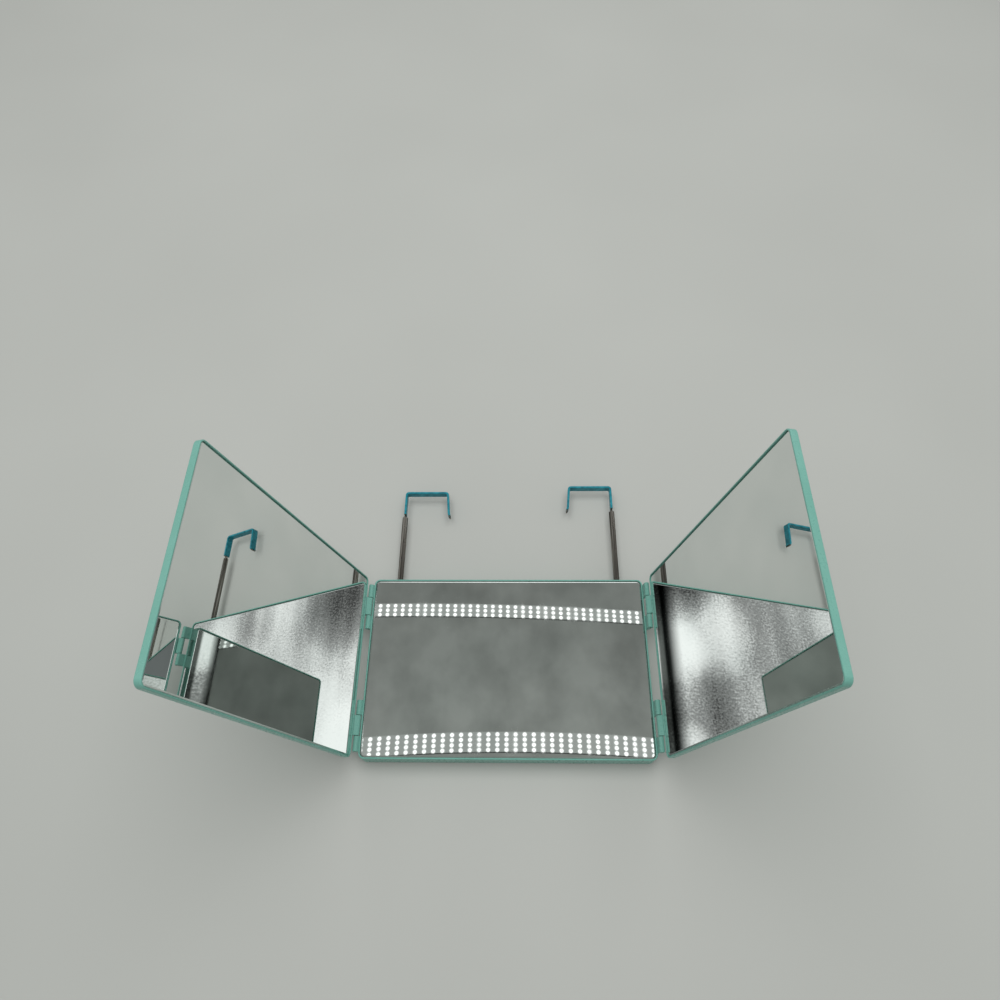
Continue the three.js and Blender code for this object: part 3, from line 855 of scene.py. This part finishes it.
def mirrorPane(face, panelWidth):
    # a narrow steep brink, then a broad shallow bevel up to the mirror
    front = face - panel["rimStand"]
    inset = panel["rim"] + glass["play"]
    width, height = panelWidth - 2 * inset, panel["height"] - 2 * inset
    foot, brink = front - glass["thickness"], front - glass["bevelDepth"]
    shape = plate(width, height, panel["corner"] - inset, foot, brink, glass["cornerSteps"])
    pane = levelFace(shape, brink)
    insetFace(shape, pane, glass["arris"], glass["arrisDepth"])
    insetFace(shape, pane, glass["bevel"] - glass["arris"], glass["bevelDepth"] - glass["arrisDepth"])
    shape.normal_update()
    mirrorLeast, bevelLeast = [cos(radians(glass[tilt])) for tilt in ("mirrorTilt", "bevelTilt")]
    for part in shape.faces:
        part.material_index = 0 if part.normal.z > mirrorLeast else 1 if part.normal.z > bevelLeast else 2
    return shape


def placeWing(shape, side):
    # a wing is drawn flat beside its hinge axis, then raised; the left one is turned half round first
    if side == "left":
        shifted(shape, turn=180)
        return shifted(shape, (-hinge["offset"], 0, hinge["leftHeight"]), hinge["leftAngle"], "Y")
    return shifted(shape, (hinge["offset"], 0, hinge["rightHeight"]), -hinge["rightAngle"], "Y")


def addGlass(name, pane, body, replaced):
    finishPiece(name, pane, glass["finish"], body, replaced, glass["sharp"])


def addWings():
    centre = (hinge["axisToWing"] + panel["wingWidth"] / 2, 0, 0)
    for side in ("left", "right"):
        body = f"{side}_wing"
        moulding = placeWing(wingMoulding(), side)
        finishPiece(f"{side}WingMoulding", moulding, "mint", body, f"{side}_wing_frame")
        pane = shifted(mirrorPane(hinge["wingFace"], panel["wingWidth"]), centre)
        addGlass(f"{side}WingGlass", placeWing(pane, side), body, f"{side}_wing_mirror")
    print("wings ready")


addWings()


screw = {
    "inset": 10,
    "seat": 5,
    "radius": 1.25,
    "tipFlat": 0.4,
    "headRadius": 2.6,
    "headThickness": 1.7,
    "headFlat": 0.6,
    "headRound": 0.9,
    "headSteps": 6,
    "bite": 3.6,
    "boss": 1.8,
    "bossRoot": 0.8,
    "threadPlay": 0.1,
    "threadSpare": 0.4,
    "pillar": 4.35,
    "wellPlay": 0.35,
    "holeSides": 24,
    "sides": 40,
    "turnStep": 17,
}
screwPlaces = [
    (column * (panel["width"] / 2 - screw["inset"]), row * (panel["height"] / 2 - screw["inset"]))
    for column in (-1, 0, 1) for row in (-1, 1)
]

rod = {
    "offset": 98.6,
    "height": 9.5,
    "leftOut": 66.6,
    "rightOut": 72.8,
    "tubeWall": 0.4,
    "innerRadius": 1.7,
    "middleRadius": 2.5,
    "outerRadius": 3.3,
    "seat": 3.4,
    "ribThickness": 2.4,
    "ribReach": 5.8,
    "ribPlaces": (-58, 0, 58),
    "middleLength": 140,
    "innerLength": 130,
    "innerStand": 0.6,
}

collar = {
    "bore": 2.65,
    "neck": 3.0,
    "flange": 3.9,
    "holePlay": 0.1,
    "reachIn": 2.4,
    "wallPlay": 0.1,
    "rimStand": 0.5,
    "rimRound": 0.3,
    "rimSteps": 4,
    "mouth": [(0.15, 0.8), (0, 0.65)],
}


def post(x, y, radius, low, high, sides=screw["sides"]):
    # stands upright
    return shifted(cylinder(radius, high - low, sides), (x, y, low))


def tubeRibs(low, high):
    # cross walls with a round seat for each outer tube
    thick = rod["ribThickness"]
    ribs = []
    for x in (-rod["offset"], rod["offset"]):
        for y in rod["ribPlaces"]:
            block = bmesh.new()
            bmesh.ops.create_cube(block, size=1)
            bmesh.ops.scale(block, vec=(2 * rod["ribReach"], thick, high - low), verts=block.verts)
            shifted(block, (x, y, (low + high) / 2))
            ribs.append(mix(block, barrel(x, rod["height"], rod["seat"], y - thick, y + thick), "DIFFERENCE"))
    return ribs


def guideHoles():
    # where the collars pass the top wall
    middle = panel["height"] / 2 - panel["wall"] / 2
    radius = collar["neck"] + collar["holePlay"]
    return [
        barrel(x, rod["height"], radius, middle - panel["wall"], middle + panel["wall"])
        for x in (-rod["offset"], rod["offset"])
    ]


def centreKnuckles():
    shapes, holes = [], []
    top = panel["centreFace"] - panel["frontRound"]
    web = top, top - hinge["webDepth"]
    for side, height in ((-1, hinge["leftHeight"]), (1, hinge["rightHeight"])):
        axis, root = side * hinge["offset"], side * (panel["width"] / 2 - hinge["webRoot"])
        for hingeStart in hingeStarts:
            for start, end in stretches(hingeStart)[0]:
                shapes.append(knuckle(axis, height, root, *web, start, end))
                holes.append(pinHole(axis, height, hinge["holeFit"], start, end))
    return shapes, holes


def centreMoulding():
    low, face = panel["joint"] + panel["jointGap"], panel["centreFace"]
    shape = plate(panel["width"], panel["height"], panel["corner"], low, face)
    roundEdges(shape, list(levelFace(shape, face).edges), panel["frontRound"], panel["frontSteps"])
    roundEdges(shape, list(levelFace(shape, low).edges), panel["jointBevel"], panel["jointSteps"])
    hollowFace(shape, face)
    under = levelFace(shape, low)
    insetFace(shape, under, panel["wall"] - panel["jointBevel"])
    sink(shape, under, panel["trayUnderside"] - low)
    bossTop = panel["trayUnderside"] + screw["bossRoot"]
    bosses = [post(x, y, screw["radius"] + screw["boss"], low, bossTop) for x, y in screwPlaces]
    radius, end = screw["radius"] + screw["threadPlay"], panel["joint"] + screw["bite"] + screw["threadSpare"]
    threads = [post(x, y, radius, low - cutPast, end, screw["holeSides"]) for x, y in screwPlaces]
    knuckles, pinHoles = centreKnuckles()
    shape = mix(shape, gather(bosses + tubeRibs(low, bossTop) + knuckles), "UNION")
    return mix(shape, gather(threads + guideHoles() + pinHoles), "DIFFERENCE")


def coverMoulding():
    high = panel["joint"]
    shape = plate(panel["width"], panel["height"], panel["corner"], 0, high)
    roundEdges(shape, list(levelFace(shape, 0).edges), panel["backRound"], panel["backSteps"])
    roundEdges(shape, list(levelFace(shape, high).edges), panel["jointBevel"], panel["jointSteps"])
    inner = levelFace(shape, high)
    insetFace(shape, inner, panel["wall"] - panel["jointBevel"])
    sink(shape, inner, panel["coverFloor"] - high)
    root = panel["coverFloor"] / 2
    pillars = [post(x, y, screw["pillar"], root, high) for x, y in screwPlaces]
    well, hole = [screw[radius] + screw["wellPlay"] for radius in ("headRadius", "radius")]
    wells = [post(x, y, well, -cutPast, screw["seat"]) for x, y in screwPlaces]
    start, end = screw["seat"] - cutPast, high + cutPast
    holes = [post(x, y, hole, start, end, screw["holeSides"]) for x, y in screwPlaces]
    shape = mix(shape, gather(pillars + tubeRibs(root, high)), "UNION")
    shape = mix(shape, gather(wells + guideHoles()), "DIFFERENCE")
    return mix(shape, gather(holes), "DIFFERENCE")


def addHousing():
    finishPiece("centreMoulding", centreMoulding(), "mint", "housing", "centre_frame")
    finishPiece("coverMoulding", coverMoulding(), "mint", "housing", "back_cover")
    addGlass("centreGlass", mirrorPane(panel["centreFace"], panel["width"]), "housing", "centre_mirror")
    print("housing ready")


addHousing()


# the tapered blade that cuts the recess, once each way
cross = {"wide": 2.2, "narrow": 0.8, "depth": 2.2, "lift": 0.2, "slimness": 0.3}


def coverScrew():
    # pan head with a cross recess, drawn along Y and stood up
    seat, head, radius = screw["seat"], screw["headRadius"], screw["radius"]
    tip, low, edge = panel["joint"] + screw["bite"], seat - screw["headThickness"], screw["headRound"]
    profile = [(0, low), (head * screw["headFlat"], low)]
    profile += arc((head - edge, low + edge), edge, -75, 0, screw["headSteps"])
    profile += [(head, seat), (radius, seat), (radius, tip - radius)]
    profile += [(radius * screw["tipFlat"], tip), (0, tip)]
    shape = shifted(turned(profile, screw["sides"]), turn=90, axis="X")
    for turn in (0, 90):
        blade = bmesh.new()
        bmesh.ops.create_cone(
            blade, cap_ends=True, segments=4, radius1=cross["wide"], radius2=cross["narrow"],
            depth=cross["depth"],
            matrix=Matrix.Translation((0, 0, low + cross["lift"])) @ Matrix.Rotation(pi / 4, 4, "Z"),
        )
        bmesh.ops.scale(blade, vec=(1, cross["slimness"], 1), verts=blade.verts)
        shape = mix(shape, shifted(blade, turn=turn), "DIFFERENCE")
    return shape


def hingePin():
    half = hingeLength / 2 - hinge["pinRecess"]
    radius, edge = hinge["pinRadius"], hinge["pinRound"]
    end = arc((radius - edge, half - edge), edge, 0, 90, hinge["pinSteps"])
    profile = [(0, -half)] + [(across, -y) for across, y in reversed(end)] + end + [(0, half)]
    return turned(profile, hinge["pinSides"])


def addFasteners():
    for number, (x, y) in enumerate(screwPlaces, 1):
        shape = shifted(coverScrew(), (x, y, 0), screw["turnStep"] * number)
        finishPiece(f"coverScrew{number}", shape, "zinc", "housing", f"cover_screw_{number}")
    for side, sign in (("left", -1), ("right", 1)):
        for level, start in zip(("bottom", "top"), hingeStarts):
            place = (sign * hinge["offset"], start + hingeLength / 2, hinge[f"{side}Height"])
            pin = shifted(hingePin(), place)
            node = f"{side}_{level}_hinge_pin"
            finishPiece(f"{side}{level.title()}Pin", pin, "zinc", "housing", node)
    print("screws and pins ready")


addFasteners()


tube = {
    "lipRound": 0.35,
    "lipSteps": 5,
    "mouthPlay": 0.12,
    "mouthBevel": 0.08,
    "mouthLength": 1.5,
    "mouthEnd": 1.9,
}


def slidingTube(radius, length, nextRadius):
    # ends at y = 0 in a mouth drawn in round the next stage
    bore, mouth, edge = radius - rod["tubeWall"], nextRadius + tube["mouthPlay"], tube["lipRound"]
    bevel = tube["mouthBevel"]
    lip = arc((radius - edge, -edge), edge, 0, 90, tube["lipSteps"])
    profile = [(bore, -length), (radius, -length)] + lip
    profile += [(mouth + bevel, 0), (mouth, -bevel), (mouth, -tube["mouthLength"]), (bore, -tube["mouthEnd"])]
    return turned(profile)


def guideCollar():
    # a sleeve that fits round the outer tube, with a neck through the wall and a flange outside it
    bore, neck, flange, outer = collar["bore"], collar["neck"], collar["flange"], rod["outerRadius"]
    top, play = panel["height"] / 2, collar["wallPlay"]
    start, inside, outside = top - panel["wall"] - collar["reachIn"], top - panel["wall"] - play, top + play
    edge = collar["rimRound"]
    rim = arc((flange - edge, outside + collar["rimStand"]), edge, 0, 90, collar["rimSteps"])
    profile = [(bore, start), (outer, start), (outer, inside), (neck, inside), (neck, outside)]
    profile += [(flange, outside)] + rim + [(bore + wider, outside + y) for wider, y in collar["mouth"]]
    return turned(profile)


# the socket that the hook's headed shank turns in, as (radius, y) from its mouth
rodSocket = {
    "edge": 0.25,
    "steps": 4,
    "profile": [(1.1, 0), (1.1, -4.8), (1.35, -4.8), (1.35, -7.2), (0, -7.2)],
}


def innerRod():
    radius, edge = rod["innerRadius"], rodSocket["edge"]
    end = arc((radius - edge, -edge), edge, 0, 90, rodSocket["steps"])
    return turned([(0, -rod["innerLength"]), (radius, -rod["innerLength"])] + end + rodSocket["profile"])


hook = {
    "gap": 38,
    "rise": 26.7,
    "bend": 2.2,
    "splay": 4.5,
    "thickness": 1.1,
    "width": 6.1,
    "tipRise": 0.2,
    "kick": 1.3,
    "kickRise": 3.7,
    "corner": 0.25,
    "sleeveWall": 0.3,
    "sleevePlay": 0.15,
    "sleeveStart": 2.8,
    "sleeveCorner": 0.5,
    "sleeveSteps": 5,
    "bareTip": 1.2,
    "shoulder": 1.5,
    "neckLength": 1.3,
    "neckWidth": 1.8,
    "bendSteps": 9,
}
# the round shank below the strip, as (radius, y): its head from its foot, its top from the neck's end
shank = {
    "foot": -6.4,
    "head": [(0, 0), (1.05, 0), (1.15, 0.1), (1.15, 1.8), (0.9, 2)],
    "top": [(0.9, -0.3), (0.6, 0), (0, 0)],
    "sides": 32,
}
sleeveThickness = hook["thickness"] + 2 * (hook["sleevePlay"] + hook["sleeveWall"])
sleeveWidth = hook["width"] + 2 * (hook["sleevePlay"] + hook["sleeveWall"])
hookSpan = hook["gap"] + sleeveThickness
hookTop = hook["rise"] - sleeveThickness / 2


def sectionLoop(shape, thickness, width, corner, y, steps=4):
    # the strip's or the sleeve's section, level across the rod's end
    bmesh.ops.create_grid(
        shape, x_segments=1, y_segments=1, size=0.5,
        matrix=Matrix.Translation((0, y, 0)) @ Matrix.Rotation(pi / 2, 4, "X"),
    )
    bmesh.ops.scale(shape, vec=(thickness, 1, width), verts=shape.verts)
    roundCorners(shape, corner, steps)
    bmesh.ops.delete(shape, geom=shape.faces[:], context="FACES_ONLY")
    return shape.edges[:]


def slideLoop(shape, edges, move):
    # draws the section straight on
    pushed = bmesh.ops.extrude_edge_only(shape, edges=edges)
    bmesh.ops.translate(shape, vec=move, verts=movedVerts(pushed))
    newVerts = set(movedVerts(pushed))
    return [edge for edge in edgesOf(pushed["geom"]) if all(vert in newVerts for vert in edge.verts)]


def bendLoop(shape, edges, centre, turn):
    # a turn to the right round an upright axis
    verts = list({vert for edge in edges for vert in edge.verts})
    bent = bmesh.ops.spin(
        shape, geom=verts + edges, cent=centre, axis=(0, 0, 1), dvec=(0, 0, 0), angle=-turn,
        steps=hook["bendSteps"], use_duplicate=False,
    )
    return edgesOf(bent["geom_last"])


def followHook(shape, edges, start, aboveTip):
    # up from the rod, across, down the splayed free arm and out along its kicked end
    bend, splay = hook["bend"], radians(hook["splay"])
    edges = slideLoop(shape, edges, (0, hookTop - bend - start, 0))
    edges = bendLoop(shape, edges, (bend, hookTop - bend, 0), pi / 2)
    edges = slideLoop(shape, edges, (hookSpan - 2 * bend, 0, 0))
    edges = bendLoop(shape, edges, (hookSpan - bend, hookTop - bend, 0), pi / 2 - splay)
    drop = hookTop - bend + bend * sin(splay) - hook["tipRise"] - hook["kickRise"]
    edges = slideLoop(shape, edges, (drop * tan(splay), -drop, 0))
    kicked = 1 - aboveTip / hook["kickRise"]
    return slideLoop(shape, edges, (hook["kick"] * kicked, aboveTip - hook["kickRise"], 0))


def hookSteel():
    shape = bmesh.new()
    low, high = hook["shoulder"], hook["shoulder"] + hook["neckLength"]
    edges = sectionLoop(shape, hook["thickness"], hook["width"], hook["corner"], low)
    for vert in shape.verts:
        vert.co.z *= hook["neckWidth"] / hook["width"]
    edges = slideLoop(shape, edges, (0, high - low, 0))
    for vert in {vert for edge in edges for vert in edge.verts}:
        vert.co.z *= hook["width"] / hook["neckWidth"]
    followHook(shape, edges, high, 0)
    bmesh.ops.holes_fill(shape, edges=[edge for edge in shape.edges if edge.is_boundary], sides=0)
    bmesh.ops.recalc_face_normals(shape, faces=shape.faces[:])
    profile = [(radius, shank["foot"] + y) for radius, y in shank["head"]]
    profile += [(radius, high + y) for radius, y in shank["top"]]
    return mix(shape, turned(profile, shank["sides"]), "UNION")


def hookSleeve():
    shape = bmesh.new()
    start, corner = hook["sleeveStart"], hook["sleeveCorner"]
    edges = sectionLoop(shape, sleeveThickness, sleeveWidth, corner, start, hook["sleeveSteps"])
    followHook(shape, edges, start, hook["bareTip"])
    bmesh.ops.recalc_face_normals(shape, faces=shape.faces[:])
    # an open tube may come out inside out: its left side has to face left
    leftmost = min(shape.faces, key=lambda face: face.calc_center_median().x)
    if leftmost.normal.x > 0:
        bmesh.ops.reverse_faces(shape, faces=shape.faces[:])
    bmesh.ops.solidify(shape, geom=shape.faces[:], thickness=hook["sleeveWall"])
    return shape


def addRods():
    # all are drawn from the middle tube's end at y = 0, and the right side's are turned half round
    for side, sign, turn in (("left", -1, 0), ("right", 1, 180)):
        x = sign * rod["offset"]
        end = (x, panel["height"] / 2 + rod[f"{side}Out"], rod["height"])
        middle = slidingTube(rod["middleRadius"], rod["middleLength"], rod["innerRadius"])
        inner = shifted(innerRod(), (0, rod["innerStand"], 0))
        drawn = [
            ("Tube", middle, "steel", "middle", "dark_steel", "middle_tube"),
            ("Rod", inner, "steel", "inner", "dark_steel", "inner_rod"),
            ("Hook", hookSteel(), "steel", "hook", "dark_steel", "hook"),
            ("Sleeve", hookSleeve(), "sleeve", "hook", "turquoise_sleeve", "hook_sleeve"),
        ]
        for label, shape, finish, body, slotName, node in drawn:
            shape = shifted(shape, end, turn, "Y")
            finishPiece(f"{side}{label}", shape, finish, f"{side}_{body}", f"{side}_{node}")
        guide = shifted(guideCollar(), (x, 0, rod["height"]))
        finishPiece(f"{side}Collar", guide, "nylon", "housing", f"{side}_tube_guide")
    print("rods and hooks ready")


addRods()


keptNodes = {
    "centre_adhesive": "foam",
    "left_wing_adhesive": "foam",
    "right_wing_adhesive": "foam",
    "left_outer_tube": "steel",
    "right_outer_tube": "steel",
    "left_middle_bush": "nylon",
    "right_middle_bush": "nylon",
    "left_inner_bush": "nylon",
    "right_inner_bush": "nylon",
}
for name, finish in keptNodes.items():
    for materialSlot in cadNodes[name].material_slots:
        materialSlot.material = finishes[finish]
print("kept nodes finished:", len(keptNodes))
